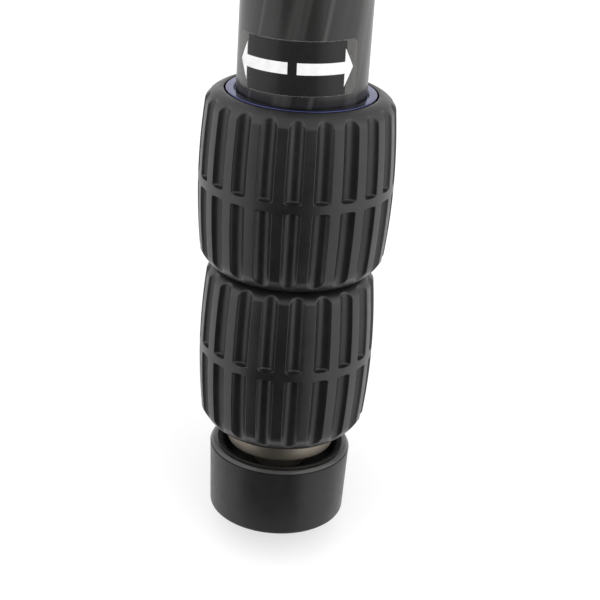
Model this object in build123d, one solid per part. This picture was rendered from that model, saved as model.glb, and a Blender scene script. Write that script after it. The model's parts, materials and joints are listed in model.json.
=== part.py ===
from build123d import *
from dataclasses import dataclass
from math import cos, hypot, radians, sin, sqrt
import os

# A three-legged camera tripod, standing on its rubber feet with the legs closed up and spread to
# their first stop. Each leg has three carbon tubes and two twist locks, whose fluted rubber grips
# meet when the leg is closed. A column with a head plate slides through the shoulder casting.
#
# Frame: millimetres, +Z up, the floor at z = 0. The origin is under the middle of the stance's
# bounding box. Leg 1 points along -Y, and legs 2 and 3 point back to either side.
#
# Leg frame: the leg's axis is Z, with z = 0 at the sole of the foot. X points away from the
# column, and Y lies along the hinge pin.
# Hub frame: Z is the column's axis, with z = 0 at the height of the three hinge pins.
# Lock frame: Z is the lock's axis, with z = 0 at the sole of its rubber grip.

# Stance
LEG_AZIMUTHS = (-90.0, 30.0, 150.0)
LEG_SPREAD = 24.0  # lean of each leg from upright, in degrees, at its first stop
WIDE_SPREAD = 50.0  # at its second stop, with the catch pulled halfway out
FLAT_SPREAD = 80.0  # at its last stop, with the catch pulled right out
HINGE_RADIUS = 40.0  # from the column's axis to each hinge pin
LEG_LENGTH = 590.0  # from the hinge pin to the sole, with the leg closed up

# Clearances
RUNNING_GAP = 0.05  # a shaft in its bore
THREAD_GAP = 0.10  # a nut on its ferrule, a glide in its tube
FREE_GAP = 0.30  # parts that pass without touching

# Tubes
UPPER_TUBE_RADIUS = 14.0
UPPER_TUBE_WALL = 1.25
MIDDLE_TUBE_RADIUS = 12.0
MIDDLE_TUBE_WALL = 1.15
LOWER_TUBE_RADIUS = 10.1
LOWER_TUBE_WALL = 1.1
COLUMN_RADIUS = 14.0
COLUMN_WALL = 1.4
COLUMN_LENGTH = 275.0
TUBE_STEP = 26.0  # how much lower each inner tube's top end is than the one round it

# Glides, the half shells that centre a tube's top end in the tube round it
GLIDE_LENGTH = 24.0
GLIDE_SPLIT = 1.6
GLIDE_PIP_RADIUS = 2.0
GLIDE_PIP_SINK = 1.0  # how far each pip reaches into the tube's wall

# Rubber grips of the twist locks
GRIP_CROWN = 0.9  # how much the middle of a grip stands out from its ends
GRIP_CHAMFER = 3.4  # height of the bevel at the sole
GRIP_SHOULDER_BULGE = 0.35  # how far the rounded shoulder stands out from a straight slope
GRIP_LIP = 0.6  # width of the flat rim round the opening at the top
FLUTE_DEPTH = 1.75  # at the middle band
FLUTE_RADIUS = 1.95  # of the round channel that each flute is
FLUTE_BAND = 2.2  # plain band between the two rows of flutes
FLUTE_BAND_RISE = 0.3  # how far the band lies above the grip's middle
LOCK_GAP = 0.3  # between the two grips of a closed leg

# Working parts of the twist locks
NUT_WALL = 1.0
NUT_FLOOR = 2.0
NUT_STEP = 4.0  # height of the nut's slimmer foot
NUT_INSET = 0.4  # how far the nut's end lies inside the grip's sole
NUT_CLAMP_ROOM = 3.4  # from the clamped tube to the outside of the nut's foot
FERRULE_FLOOR = 6.0  # height of the ferrule's ring below the tube's end
FERRULE_BEVEL = 0.6
FERRULE_INSET = 0.2  # how far the ferrule's top lies below the grip's
COLLET_TOP = 16.0
COLLET_SLITS = 6
COLLET_SLIT_WIDTH = 1.3
COLLET_RING = 3.5  # height left uncut above the slits
COLLET_THIN_WALL = 1.2

# Foot
FOOT_SOLE_RADIUS = 15.6
FOOT_RIM_RADIUS = 16.3
FOOT_EDGE_ROUND = 0.8
FOOT_SEAM_HEIGHT = 16.0  # the fine groove below the rounded rim
FOOT_SEAM_DEPTH = 0.35
FOOT_HEIGHT = 17.2
FOOT_TAPER_DRAFT = 0.1  # how much slimmer the side is below the seam than the rim above it
FOOT_DISH_RADIUS = 13.4
FOOT_DISH_FLOOR = 12.2
FOOT_DISH_DRAFT = 0.6
FOOT_TRAVEL = 5.0  # how far the rubber screws up to bare the spike
FOOT_STOP_GAP = 0.5  # left between the grip and a foot screwed right up
STUD_RADIUS = 6.0
SPIKE_TIP = 0.8  # height of the spike's point above the sole
SPIKE_LENGTH = 6.0
COLLAR_RADIUS = 12.3  # turned collar at the lower tube's end
COLLAR_BOTTOM = 17.8
COLLAR_BEVEL = 0.4
COLLAR_FLOOR = 1.3
PLUG_LENGTH = 22.0
PLUG_WALL = 2.0

# Knuckle at the top of each leg
KNUCKLE_WIDTH = 22.0
KNUCKLE_HEAD_RADIUS = 9.5
KNUCKLE_HEAD_RISE = 14.0
KNUCKLE_CORNER = 5.0
KNUCKLE_EDGE_ROUND = 1.2
SOCKET_RADIUS = 17.2
SOCKET_TOP = 22.5  # below the hinge pin
SOCKET_LENGTH = 42.0
SOCKET_TAPER = 6.0
SOCKET_BEVEL = 1.0
SOCKET_NECK_RADIUS = 12.0
TUBE_SEAT_DROP = 26.0  # from the hinge pin to the upper tube's top end

# Catch that sets the spread
CATCH_WIDTH = 10.0
CATCH_THICKNESS = 3.0
CATCH_HEIGHT = 9.0  # above the hinge pin, to its middle
CATCH_INNER = 17.0  # from the leg's axis to the end that meets the first stop
CATCH_STEP = 2.0  # how far it is pulled out to meet the second stop
CATCH_OUTER = 13.5
CATCH_TAB_WIDTH = 14.0
CATCH_TAB_HEIGHT = 9.0
CATCH_TAB_THICKNESS = 2.6
CATCH_TAB_CORNER = 2.0
CATCH_GAP = 0.15
STOP_GAP = 0.2

# Shoulder casting
ARM_WALL = 6.0
ARM_END_RADIUS = 10.0
ARM_ROOT_RADIUS = 4.0
ARM_ROOT_DISTANCE = 18.0
ARM_ROOT_TOP = 9.5
ARM_ROOT_BOTTOM = 14.0
ARM_EDGE_ROUND = 2.0
BARREL_RADIUS = 20.0
BARREL_TOP = 15.0
BARREL_BOTTOM = 24.0
BARREL_BEVEL = 1.5
BARREL_FLARE = 2.0  # height of the slope under the collar plate
COLLAR_PLATE_RADIUS = 23.5
COLLAR_PLATE_HEIGHT = 3.0
COLLAR_PLATE_BEVEL = 0.8

# Hinge bolts
BOLT_RADIUS = 4.0
BOLT_HEAD_RADIUS = 6.5
BOLT_HEAD_HEIGHT = 3.5
BOLT_END_INSET = 0.5  # how far the bolt's end lies inside its nut
BOLT_SOCKET = 5.0
BOLT_SOCKET_DEPTH = 2.2
COUNTERBORE_DEPTH = 2.0

# Head plate, pad and screw
PLATE_RADIUS = 30.0
PLATE_THICKNESS = 6.0
PLATE_EDGE = 1.2
PLATE_GAP = 0.6
PLATE_PLUG_LENGTH = 26.0
PLATE_PLUG_WALL = 3.5
PAD_OUTER = 28.0
PAD_INNER = 10.5
PAD_THICKNESS = 1.2
SCREW_RADIUS = 4.7625  # a three-eighths inch camera screw
SCREW_RISE = 10.4  # above the plate
SCREW_TIP = 0.9
SCREW_COLLAR_RADIUS = 5.6
SCREW_HEAD_RADIUS = 8.2
SCREW_HEAD_HEIGHT = 3.5
SET_SCREW_RADIUS = 2.0
SET_SCREW_CIRCLE = 22.5
SET_SCREW_COUNT = 3

# Column's end cap and hook
CAP_HEIGHT = 7.0
CAP_PLUG_LENGTH = 16.0
CAP_PLUG_WALL = 2.0
CAP_BEVEL = 2.5
HOOK_STEM_RADIUS = 2.5
HOOK_RING_OUTER = 10.0
HOOK_RING_INNER = 6.4
HOOK_THICKNESS = 4.0
HOOK_MOUTH = 5.6
HOOK_MOUTH_RISE = 1.0  # of the mouth's lower edge above the ring's middle
HOOK_STEM_ROOT = 2.0  # how far the stem runs into the ring's height
HOOK_STEM_RISE = 24.0
HOOK_STOP_RADIUS = 5.0
HOOK_STOP_HEIGHT = 2.5


@dataclass
class TwistLock:
    """Sizes of one twist lock. The ferrule carries the thread, and the collet clamps the tube."""

    clamped_radius: float
    carrier_radius: float
    ferrule_radius: float
    grip_radius: float
    sole_radius: float
    grip_height: float
    shoulder: float  # height of the rounded slope above the ribs
    flutes: int
    seat: float  # height of the carrying tube's end above the sole
    turn: float  # how far the grip's flutes are turned from the leg's X axis, in degrees

    @property
    def nut_foot_radius(self):
        return self.clamped_radius + NUT_CLAMP_ROOM

    @property
    def nut_radius(self):
        return self.ferrule_radius + THREAD_GAP + NUT_WALL

    @property
    def nut_top(self):
        return self.grip_height - self.shoulder

    @property
    def end_radius(self):
        return self.grip_radius - GRIP_CROWN

    @property
    def lip_radius(self):
        return self.ferrule_radius + FREE_GAP

    @property
    def band(self):
        return self.grip_height / 2 + FLUTE_BAND_RISE


UPPER_LOCK = TwistLock(
    clamped_radius=MIDDLE_TUBE_RADIUS,
    carrier_radius=UPPER_TUBE_RADIUS,
    ferrule_radius=16.2,
    grip_radius=21.35,
    sole_radius=17.3,
    grip_height=39.5,
    shoulder=2.5,
    flutes=22,
    seat=COLLET_TOP + FERRULE_FLOOR,
    turn=0.0,
)
LOWER_LOCK = TwistLock(
    clamped_radius=LOWER_TUBE_RADIUS,
    carrier_radius=MIDDLE_TUBE_RADIUS,
    ferrule_radius=14.2,
    grip_radius=19.65,
    sole_radius=15.95,
    grip_height=38.7,
    shoulder=2.1,
    flutes=20,
    seat=COLLET_TOP + FERRULE_FLOOR,
    turn=6.3,
)
COLUMN_LOCK = TwistLock(
    clamped_radius=COLUMN_RADIUS,
    carrier_radius=COLUMN_RADIUS + FREE_GAP,
    ferrule_radius=18.2,
    grip_radius=25.0,
    sole_radius=20.6,
    grip_height=34.0,
    shoulder=2.8,
    flutes=24,
    seat=COLLET_TOP,
    turn=0.0,
)

# Places along a closed leg, and on the column
LOWER_LOCK_SOLE = FOOT_HEIGHT + FOOT_TRAVEL + FOOT_STOP_GAP
UPPER_LOCK_SOLE = LOWER_LOCK_SOLE + LOWER_LOCK.grip_height + LOCK_GAP
UPPER_TUBE_TOP = LEG_LENGTH - TUBE_SEAT_DROP
MIDDLE_TUBE_TOP = UPPER_TUBE_TOP - TUBE_STEP
LOWER_TUBE_TOP = MIDDLE_TUBE_TOP - TUBE_STEP
COLLAR_TOP = LOWER_LOCK_SOLE - FREE_GAP
COLUMN_LOCK_FOOT = BARREL_TOP + COLLAR_PLATE_HEIGHT + PLATE_GAP
COLUMN_LOCK_TOP = COLUMN_LOCK_FOOT + COLUMN_LOCK.grip_height
COLUMN_TOP = COLUMN_LOCK_TOP + PLATE_GAP
COLUMN_BOTTOM = COLUMN_TOP - COLUMN_LENGTH


def revolved(points):
    """A solid of revolution about Z from (radius, height) corners."""
    with BuildPart() as made:
        with BuildSketch(Plane.XZ):
            Polygon(*points, align=None)
        revolve(axis=Axis.Z)
    return made.part


def tube(radius, wall, bottom, top):
    """A plain tube on Z."""
    return revolved([(radius - wall, bottom), (radius, bottom), (radius, top), (radius - wall, top)])


def flute_cutters(lock):
    """The two rows of round channels, one open at the sole and one at the shoulder."""
    low_end = lock.band - FLUTE_BAND / 2
    high_end = lock.band + FLUTE_BAND / 2
    with BuildPart() as cutters:
        for start, height in ((0, low_end), (high_end, lock.grip_height - high_end)):
            with BuildSketch(Plane.XY.offset(start)):
                with PolarLocations(lock.grip_radius - FLUTE_DEPTH + FLUTE_RADIUS, lock.flutes):
                    Circle(FLUTE_RADIUS)
            extrude(amount=height)
    return cutters.part


def grip(lock):
    """The rubber grip: a barrel with two rows of flutes, bevelled at its sole and round at its top."""
    shoulder = lock.grip_height - lock.shoulder
    rim = (lock.lip_radius + GRIP_LIP, lock.grip_height)
    with BuildPart() as made:
        with BuildSketch(Plane.XZ):
            with BuildLine():
                ThreePointArc(
                    (lock.end_radius, GRIP_CHAMFER),
                    (lock.grip_radius, lock.band),
                    (lock.end_radius, shoulder),
                )
                SagittaArc((lock.end_radius, shoulder), rim, -GRIP_SHOULDER_BULGE)
                Polyline(
                    rim,
                    (lock.lip_radius, lock.grip_height),
                    (lock.lip_radius, lock.nut_top),
                    (lock.nut_radius, lock.nut_top),
                    (lock.nut_radius, NUT_STEP),
                    (lock.nut_foot_radius, NUT_STEP),
                    (lock.nut_foot_radius, 0),
                    (lock.sole_radius, 0),
                    (lock.end_radius, GRIP_CHAMFER),
                )
            make_face()
        revolve(axis=Axis.Z)
        add(flute_cutters(lock), mode=Mode.SUBTRACT)
    return made.part.rotate(Axis.Z, lock.turn)


def clamp_cone(lock, gap):
    """Outer corners of the clamping cone, inset by the gap: its narrow end, then its wide end."""
    narrow = (lock.clamped_radius + COLLET_THIN_WALL - gap, NUT_INSET + NUT_FLOOR + gap)
    wide = (lock.ferrule_radius - gap, COLLET_TOP)
    return narrow, wide


def nut(lock):
    """The lock's nut, whose cone squeezes the collet. Its thread is left plain."""
    (narrow_radius, narrow_height), (wide_radius, wide_height) = clamp_cone(lock, 0)
    bore = lock.ferrule_radius + THREAD_GAP
    hole = lock.clamped_radius + FREE_GAP
    return revolved(
        [
            (hole, NUT_INSET),
            (lock.nut_foot_radius, NUT_INSET),
            (lock.nut_foot_radius, NUT_STEP),
            (lock.nut_radius, NUT_STEP),
            (lock.nut_radius, lock.nut_top),
            (bore, lock.nut_top),
            (bore, wide_height - THREAD_GAP),
            (narrow_radius, narrow_height),
            (hole, narrow_height),
        ]
    )


def ferrule(lock):
    """The threaded ferrule bonded round the carrying tube's end. Its thread is left plain."""
    top = lock.grip_height - FERRULE_INSET
    bore = lock.clamped_radius + FREE_GAP
    return revolved(
        [
            (bore, COLLET_TOP),
            (lock.ferrule_radius, COLLET_TOP),
            (lock.ferrule_radius, top - FERRULE_BEVEL),
            (lock.ferrule_radius - FERRULE_BEVEL, top),
            (lock.carrier_radius, top),
            (lock.carrier_radius, lock.seat),
            (bore, lock.seat),
        ]
    )


def collet(lock):
    """The slit cone that grips the sliding tube. Its slits stop below a solid ring at the top."""
    (narrow_radius, narrow_height), (wide_radius, wide_height) = clamp_cone(lock, 2 * THREAD_GAP)
    inner = lock.clamped_radius + RUNNING_GAP
    slit_top = wide_height - COLLET_RING
    with BuildPart() as made:
        add(
            revolved(
                [
                    (inner, narrow_height),
                    (narrow_radius, narrow_height),
                    (wide_radius, wide_height),
                    (inner, wide_height),
                ]
            )
        )
        with BuildSketch(Plane.XY):
            with PolarLocations(lock.clamped_radius, COLLET_SLITS):
                Rectangle(2 * lock.ferrule_radius - lock.clamped_radius, COLLET_SLIT_WIDTH)
        extrude(amount=slit_top, mode=Mode.SUBTRACT)
    return made.part


def glides(radius, bore, top):
    """Two half shells round a tube's top end, each held by a pip in a hole of the tube."""
    outer = bore - THREAD_GAP
    middle = top - GLIDE_LENGTH / 2
    with BuildPart() as made:
        add(tube(outer, outer - radius, top - GLIDE_LENGTH, top))
        with Locations((0, 0, middle)):
            Box(2 * outer, GLIDE_SPLIT, GLIDE_LENGTH, mode=Mode.SUBTRACT)
        pips = Plane(origin=(0, 0, middle), z_dir=(0, 1, 0))
        for direction in (1, -1):
            with BuildSketch(pips.offset(direction * (radius + outer) / 2)):
                Circle(GLIDE_PIP_RADIUS)
            extrude(amount=-direction * ((outer - radius) / 2 + GLIDE_PIP_SINK))
    return made.part.solids()


def holed_tube(radius, wall, bottom, top):
    """A sliding tube, with the two holes that its glides clip into."""
    with BuildPart() as made:
        add(tube(radius, wall, bottom, top))
        with Locations(Location((0, 0, top - GLIDE_LENGTH / 2), (90, 0, 0))):
            Cylinder(GLIDE_PIP_RADIUS + THREAD_GAP, 4 * radius, mode=Mode.SUBTRACT)
    return made.part


def foot_pad():
    """The rubber foot: a tapered puck with a rounded rim and a dished top, screwed on the stud."""
    rim_middle = (FOOT_RIM_RADIUS + FOOT_DISH_RADIUS) / 2
    seam = FOOT_SEAM_DEPTH
    bore = STUD_RADIUS + THREAD_GAP
    with BuildPart() as made:
        with BuildSketch(Plane.XZ):
            with BuildLine():
                ThreePointArc(
                    (FOOT_RIM_RADIUS, FOOT_SEAM_HEIGHT),
                    (rim_middle, FOOT_HEIGHT),
                    (FOOT_DISH_RADIUS, FOOT_SEAM_HEIGHT),
                )
                Polyline(
                    (FOOT_DISH_RADIUS, FOOT_SEAM_HEIGHT),
                    (FOOT_DISH_RADIUS - FOOT_DISH_DRAFT, FOOT_DISH_FLOOR),
                    (bore, FOOT_DISH_FLOOR),
                    (bore, 0),
                    (FOOT_SOLE_RADIUS, 0),
                    (FOOT_RIM_RADIUS - FOOT_TAPER_DRAFT, FOOT_SEAM_HEIGHT - seam),
                    (FOOT_RIM_RADIUS - seam, FOOT_SEAM_HEIGHT - seam),
                    (FOOT_RIM_RADIUS - seam, FOOT_SEAM_HEIGHT),
                    (FOOT_RIM_RADIUS, FOOT_SEAM_HEIGHT),
                )
            make_face()
        revolve(axis=Axis.Z)
        sole = made.edges().filter_by(GeomType.CIRCLE).group_by(Axis.Z)[0]
        fillet(sole.sort_by(SortBy.RADIUS)[-1], FOOT_EDGE_ROUND)
    return made.part


def foot_spike():
    """The turned end of the lower tube: a collar, a plug inside the tube and a pointed stud."""
    seat = COLLAR_BOTTOM + COLLAR_FLOOR
    plug = LOWER_TUBE_RADIUS - LOWER_TUBE_WALL
    return revolved(
        [
            (0, SPIKE_TIP),
            (STUD_RADIUS, SPIKE_TIP + SPIKE_LENGTH),
            (STUD_RADIUS, COLLAR_BOTTOM),
            (COLLAR_RADIUS - COLLAR_BEVEL, COLLAR_BOTTOM),
            (COLLAR_RADIUS, COLLAR_BOTTOM + COLLAR_BEVEL),
            (COLLAR_RADIUS, COLLAR_TOP),
            (LOWER_TUBE_RADIUS, COLLAR_TOP),
            (LOWER_TUBE_RADIUS, seat),
            (plug, seat),
            (plug, seat + PLUG_LENGTH),
            (plug - PLUG_WALL, seat + PLUG_LENGTH),
            (plug - PLUG_WALL, seat),
            (0, seat),
        ]
    )


def knuckle():
    """The casting that carries the leg's tube and turns on the hinge pin, in the leg frame."""
    socket_top = LEG_LENGTH - SOCKET_TOP
    socket_bottom = socket_top - SOCKET_LENGTH
    block_top = LEG_LENGTH + KNUCKLE_HEAD_RISE
    with BuildPart() as made:
        with BuildSketch(Plane.XZ) as side:
            with Locations((0, (UPPER_TUBE_TOP + block_top) / 2)):
                Rectangle(2 * KNUCKLE_HEAD_RADIUS, block_top - UPPER_TUBE_TOP)
            fillet(side.vertices().group_by(Axis.Z)[-1], KNUCKLE_CORNER)
        extrude(amount=KNUCKLE_WIDTH / 2, both=True)
        fillet(made.faces().filter_by(Axis.Y).edges(), KNUCKLE_EDGE_ROUND)
        add(
            revolved(
                [
                    (0, socket_bottom),
                    (SOCKET_RADIUS - SOCKET_BEVEL, socket_bottom),
                    (SOCKET_RADIUS, socket_bottom + SOCKET_BEVEL),
                    (SOCKET_RADIUS, socket_top),
                    (SOCKET_NECK_RADIUS, socket_top + SOCKET_TAPER),
                    (0, socket_top + SOCKET_TAPER),
                ]
            )
        )
        with Locations((0, 0, socket_bottom)):
            Cylinder(
                UPPER_TUBE_RADIUS,
                UPPER_TUBE_TOP - socket_bottom,
                align=(Align.CENTER, Align.CENTER, Align.MIN),
                mode=Mode.SUBTRACT,
            )
        with Locations(Location((0, 0, LEG_LENGTH), (90, 0, 0))):
            Cylinder(BOLT_RADIUS + RUNNING_GAP, 2 * KNUCKLE_WIDTH, mode=Mode.SUBTRACT)
        with Locations((0, 0, LEG_LENGTH + CATCH_HEIGHT)):
            Box(
                4 * KNUCKLE_HEAD_RADIUS,
                CATCH_WIDTH + 2 * CATCH_GAP,
                CATCH_THICKNESS + 2 * CATCH_GAP,
                mode=Mode.SUBTRACT,
            )
    return made.part


def catch():
    """The sliding catch in the knuckle's head, whose inner end meets the shoulder's stop."""
    length = CATCH_OUTER + CATCH_INNER
    with BuildPart() as made:
        with Locations(((CATCH_OUTER - CATCH_INNER) / 2, 0, LEG_LENGTH + CATCH_HEIGHT)):
            Box(length, CATCH_WIDTH, CATCH_THICKNESS)
        tab = Plane(
            origin=(CATCH_OUTER, 0, LEG_LENGTH + CATCH_HEIGHT), x_dir=(0, 1, 0), z_dir=(1, 0, 0)
        )
        with BuildSketch(tab):
            RectangleRounded(CATCH_TAB_WIDTH, CATCH_TAB_HEIGHT, CATCH_TAB_CORNER)
        extrude(amount=CATCH_TAB_THICKNESS)
    return made.part


def shoulder_arm():
    """One arm of the shoulder in the hub frame, pointing along X, before its slot is cut."""
    half = KNUCKLE_WIDTH / 2 + FREE_GAP + ARM_WALL
    with BuildPart() as made:
        with BuildSketch(Plane.XZ):
            with Locations((HINGE_RADIUS, 0)):
                Circle(ARM_END_RADIUS)
            with Locations((ARM_ROOT_DISTANCE, ARM_ROOT_TOP), (ARM_ROOT_DISTANCE, -ARM_ROOT_BOTTOM)):
                Circle(ARM_ROOT_RADIUS)
            make_hull()
        extrude(amount=half, both=True)
        sides = made.faces().filter_by(Axis.Y)
        fillet(sides.edges(), ARM_EDGE_ROUND)
    return made.part


def stop_pocket(spread, reach):
    """The pocket in an arm for the catch's end, with the ledge that stops the leg at its spread."""
    ledge = CATCH_HEIGHT - CATCH_THICKNESS / 2 - STOP_GAP
    swept = hypot(reach, CATCH_HEIGHT + CATCH_THICKNESS / 2) + FREE_GAP
    with BuildPart() as made:
        with BuildSketch(Plane.XZ):
            Circle(swept)
            with Locations((-reach - STOP_GAP, ledge)):
                Rectangle(
                    reach + STOP_GAP, swept, align=(Align.MIN, Align.MIN), mode=Mode.INTERSECT
                )
        extrude(amount=CATCH_WIDTH / 2 + FREE_GAP, both=True)
    return made.part.moved(Location((HINGE_RADIUS, 0, 0), (0, -spread, 0)))


def head_sweep():
    """The space that the knuckle's head turns in, down to the floor that stops it when flat."""
    corner = KNUCKLE_CORNER
    swept = hypot(KNUCKLE_HEAD_RADIUS - corner, KNUCKLE_HEAD_RISE - corner) + corner + FREE_GAP
    with BuildPart() as made:
        with BuildSketch(Plane.XZ):
            Circle(swept)
            with Locations((-KNUCKLE_HEAD_RADIUS - STOP_GAP, 0)):
                Rectangle(2 * swept, 2 * swept, align=(Align.MIN, Align.CENTER), mode=Mode.INTERSECT)
        extrude(amount=KNUCKLE_WIDTH / 2 + FREE_GAP, both=True)
    return made.part.moved(Location((HINGE_RADIUS, 0, 0), (0, -FLAT_SPREAD, 0)))


def arm_slot():
    """What is cut from an arm: the knuckle's slot, the pockets of two stops and the bolt's holes."""
    half = KNUCKLE_WIDTH / 2 + FREE_GAP
    reach = 2 * HINGE_RADIUS
    with BuildPart() as made:
        with Locations((HINGE_RADIUS, 0, 0)):
            Box(reach, 2 * half, reach, align=(Align.MIN, Align.CENTER, Align.MIN))
        with Locations((HINGE_RADIUS - KNUCKLE_HEAD_RADIUS - FREE_GAP, 0, 0)):
            Box(reach, 2 * half, reach, align=(Align.MIN, Align.CENTER, Align.MAX))
        add(head_sweep())
        add(stop_pocket(LEG_SPREAD, CATCH_INNER))
        add(stop_pocket(WIDE_SPREAD, CATCH_INNER - CATCH_STEP))
        with Locations(Location((HINGE_RADIUS, 0, 0), (90, 0, 0))):
            Cylinder(BOLT_RADIUS + RUNNING_GAP, 4 * HINGE_RADIUS)
            for side in (1, -1):
                with Locations((0, 0, side * (half + ARM_WALL))):
                    Cylinder(BOLT_HEAD_RADIUS + FREE_GAP, 2 * COUNTERBORE_DEPTH)
    return made.part


def shoulder():
    """The casting that joins the legs, in the hub frame: a barrel with three slotted arms."""
    neck_top = COLUMN_LOCK_TOP - COLLET_TOP
    bore = COLUMN_LOCK.carrier_radius
    plate_top = BARREL_TOP + COLLAR_PLATE_HEIGHT
    with BuildPart() as made:
        for azimuth in LEG_AZIMUTHS:
            add(shoulder_arm().rotate(Axis.Z, azimuth))
        add(
            revolved(
                [
                    (0, -BARREL_BOTTOM),
                    (BARREL_RADIUS - BARREL_BEVEL, -BARREL_BOTTOM),
                    (BARREL_RADIUS, -BARREL_BOTTOM + BARREL_BEVEL),
                    (BARREL_RADIUS, BARREL_TOP - BARREL_FLARE),
                    (COLLAR_PLATE_RADIUS, BARREL_TOP),
                    (COLLAR_PLATE_RADIUS, plate_top - COLLAR_PLATE_BEVEL),
                    (COLLAR_PLATE_RADIUS - COLLAR_PLATE_BEVEL, plate_top),
                    (COLUMN_LOCK.ferrule_radius, plate_top),
                    (COLUMN_LOCK.ferrule_radius, neck_top),
                    (0, neck_top),
                ]
            )
        )
        for azimuth in LEG_AZIMUTHS:
            add(arm_slot().rotate(Axis.Z, azimuth), mode=Mode.SUBTRACT)
        Cylinder(bore, 4 * BARREL_BOTTOM, mode=Mode.SUBTRACT)
    return made.part


def hinge_bolt():
    """A socket-head bolt and its nut on the X arm's hinge, in the hub frame."""
    seat = KNUCKLE_WIDTH / 2 + FREE_GAP + ARM_WALL - COUNTERBORE_DEPTH
    across = Plane(origin=(HINGE_RADIUS, 0, 0), z_dir=(0, -1, 0))
    with BuildPart() as bolt:
        with BuildSketch(across.offset(-seat)):
            Circle(BOLT_RADIUS)
        extrude(amount=2 * seat + BOLT_HEAD_HEIGHT - BOLT_END_INSET)
        with BuildSketch(across.offset(-seat)):
            Circle(BOLT_HEAD_RADIUS)
        extrude(amount=-BOLT_HEAD_HEIGHT)
        with BuildSketch(across.offset(-seat - BOLT_HEAD_HEIGHT)):
            RegularPolygon(BOLT_SOCKET / 2, 6, major_radius=False)
        extrude(amount=BOLT_SOCKET_DEPTH, mode=Mode.SUBTRACT)
    with BuildPart() as lock_nut:
        with BuildSketch(across.offset(seat)):
            RegularPolygon(BOLT_HEAD_RADIUS, 6)
            Circle(BOLT_RADIUS + RUNNING_GAP, mode=Mode.SUBTRACT)
        extrude(amount=BOLT_HEAD_HEIGHT)
    return [bolt.part, lock_nut.part]


def head_plate():
    """The column's top plate and the plug that holds it in the tube, in the hub frame."""
    top = COLUMN_TOP + PLATE_THICKNESS
    plug = COLUMN_RADIUS - COLUMN_WALL
    with BuildPart() as made:
        add(
            revolved(
                [
                    (0, COLUMN_TOP - PLATE_PLUG_LENGTH),
                    (plug, COLUMN_TOP - PLATE_PLUG_LENGTH),
                    (plug, COLUMN_TOP),
                    (PLATE_RADIUS - PLATE_EDGE, COLUMN_TOP),
                    (PLATE_RADIUS, COLUMN_TOP + PLATE_EDGE),
                    (PLATE_RADIUS, top - PLATE_EDGE),
                    (PLATE_RADIUS - PLATE_EDGE, top),
                    (0, top),
                ]
            )
        )
        with Locations((0, 0, COLUMN_TOP)):
            Cylinder(
                plug - PLATE_PLUG_WALL,
                PLATE_PLUG_LENGTH,
                align=(Align.CENTER, Align.CENTER, Align.MAX),
                mode=Mode.SUBTRACT,
            )
            Cylinder(SCREW_COLLAR_RADIUS, 4 * PLATE_THICKNESS, mode=Mode.SUBTRACT)
            with PolarLocations(SET_SCREW_CIRCLE, SET_SCREW_COUNT, start_angle=90):
                Cylinder(SET_SCREW_RADIUS, 4 * PLATE_THICKNESS, mode=Mode.SUBTRACT)
    return made.part


def head_screw():
    """The camera screw, whose head bears on the plate's underside. Its thread is left plain."""
    top = COLUMN_TOP + PLATE_THICKNESS
    tip = top + SCREW_RISE
    return revolved(
        [
            (0, COLUMN_TOP - SCREW_HEAD_HEIGHT),
            (SCREW_HEAD_RADIUS, COLUMN_TOP - SCREW_HEAD_HEIGHT),
            (SCREW_HEAD_RADIUS, COLUMN_TOP),
            (SCREW_COLLAR_RADIUS, COLUMN_TOP),
            (SCREW_COLLAR_RADIUS, top),
            (SCREW_RADIUS, top),
            (SCREW_RADIUS, tip - SCREW_TIP),
            (SCREW_RADIUS - SCREW_TIP, tip),
            (0, tip),
        ]
    )


def set_screws():
    """The grub screws that rise from under the plate to lock a head, in the hub frame."""
    with BuildPart() as made:
        with Locations((0, 0, COLUMN_TOP)):
            with PolarLocations(SET_SCREW_CIRCLE, SET_SCREW_COUNT, start_angle=90):
                Cylinder(
                    SET_SCREW_RADIUS,
                    PLATE_THICKNESS,
                    align=(Align.CENTER, Align.CENTER, Align.MIN),
                )
    return made.part.solids()


def column_cap():
    """The plug that closes the column's foot and guides the hook's stem, in the hub frame."""
    plug = COLUMN_RADIUS - COLUMN_WALL
    bottom = COLUMN_BOTTOM - CAP_HEIGHT
    return revolved(
        [
            (HOOK_STEM_RADIUS + RUNNING_GAP, bottom),
            (COLUMN_RADIUS - CAP_BEVEL, bottom),
            (COLUMN_RADIUS, bottom + CAP_BEVEL),
            (COLUMN_RADIUS, COLUMN_BOTTOM),
            (plug, COLUMN_BOTTOM),
            (plug, COLUMN_BOTTOM + CAP_PLUG_LENGTH),
            (plug - CAP_PLUG_WALL, COLUMN_BOTTOM + CAP_PLUG_LENGTH),
            (plug - CAP_PLUG_WALL, COLUMN_BOTTOM),
            (HOOK_STEM_RADIUS + RUNNING_GAP, COLUMN_BOTTOM),
        ]
    )


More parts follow.
